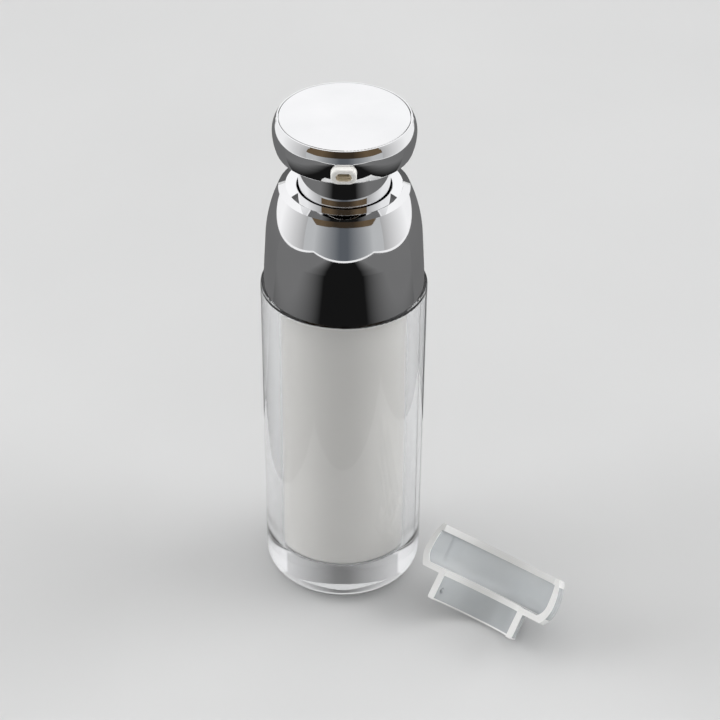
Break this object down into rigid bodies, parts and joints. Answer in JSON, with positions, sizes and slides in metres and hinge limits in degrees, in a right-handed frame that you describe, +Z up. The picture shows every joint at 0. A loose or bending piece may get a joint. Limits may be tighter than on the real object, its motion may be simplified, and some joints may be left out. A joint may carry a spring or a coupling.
{
  "type": "airless pump bottle",
  "caption": "Clear thick-walled bottle with a white cartridge, silver collar and press-down pump head with a small spout; its half-shell transport clip lies beside it.",
  "frame": {"origin": "centre of the bottle's flat base", "axes": "+Z up along the bottle's axis, -Y the way the spout points at rest"},
  "size_m": [0.0675, 0.0552, 0.1187],
  "materials": {
    "clear_acrylic": "polished",
    "silver": "polished",
    "white_plastic": "satin",
    "soft_white": "matte",
    "steel": "satin",
    "milky_plastic": "satin"
  },
  "bodies": {
    "bottle": {"outer_bottle": "clear_acrylic", "inner_bottle": "white_plastic", "mouth_gasket": "soft_white", "pump_plug": "white_plastic", "pump_chamber": "white_plastic", "valve_cage": "white_plastic", "chamber_cap": "white_plastic", "stem_wiper": "soft_white", "return_spring": "steel", "collar": "silver", "collar_liner": "white_plastic"},
    "plunger": {"pump_stem": "white_plastic", "stem_poppet": "white_plastic"},
    "head": {"head_shell": "silver", "top_plate": "silver", "neck_sleeve": "silver", "actuator_core": "white_plastic", "nozzle_spout": "white_plastic"},
    "piston": {"pump_piston": "soft_white"},
    "inlet_valve": {"inlet_ball": "steel"},
    "follower": {"follower_piston": "soft_white"},
    "clip": {"transport_clip": "milky_plastic"}
  },
  "joints": [
    {"name": "head_press", "type": "slide", "parent": "bottle", "child": "plunger", "axis": [0, 0, -1], "range_m": [0, 0.007], "stiffness_N_per_m": 800, "springref_m": -0.009, "deforming": ["return_spring"]},
    {"name": "head_swivel", "type": "hinge", "parent": "plunger", "child": "head", "pos_m": [0, 0, 0.113], "axis": [0, 0, 1], "continuous": true},
    {"name": "piston_slip", "type": "slide", "parent": "plunger", "child": "piston", "axis": [0, 0, 1], "range_m": [0, 0.0008]},
    {"name": "inlet_lift", "type": "slide", "parent": "bottle", "child": "inlet_valve", "axis": [0, 0, 1], "range_m": [0, 0.0006]},
    {"name": "follower_rise", "type": "slide", "parent": "bottle", "child": "follower", "axis": [0, 0, 1], "range_m": [0, 0.058]},
    {"name": "clip_lift", "type": "slide", "parent": "bottle", "child": "clip", "axis": [0, 0, 1], "range_m": [0, 0.12]}
  ]
}
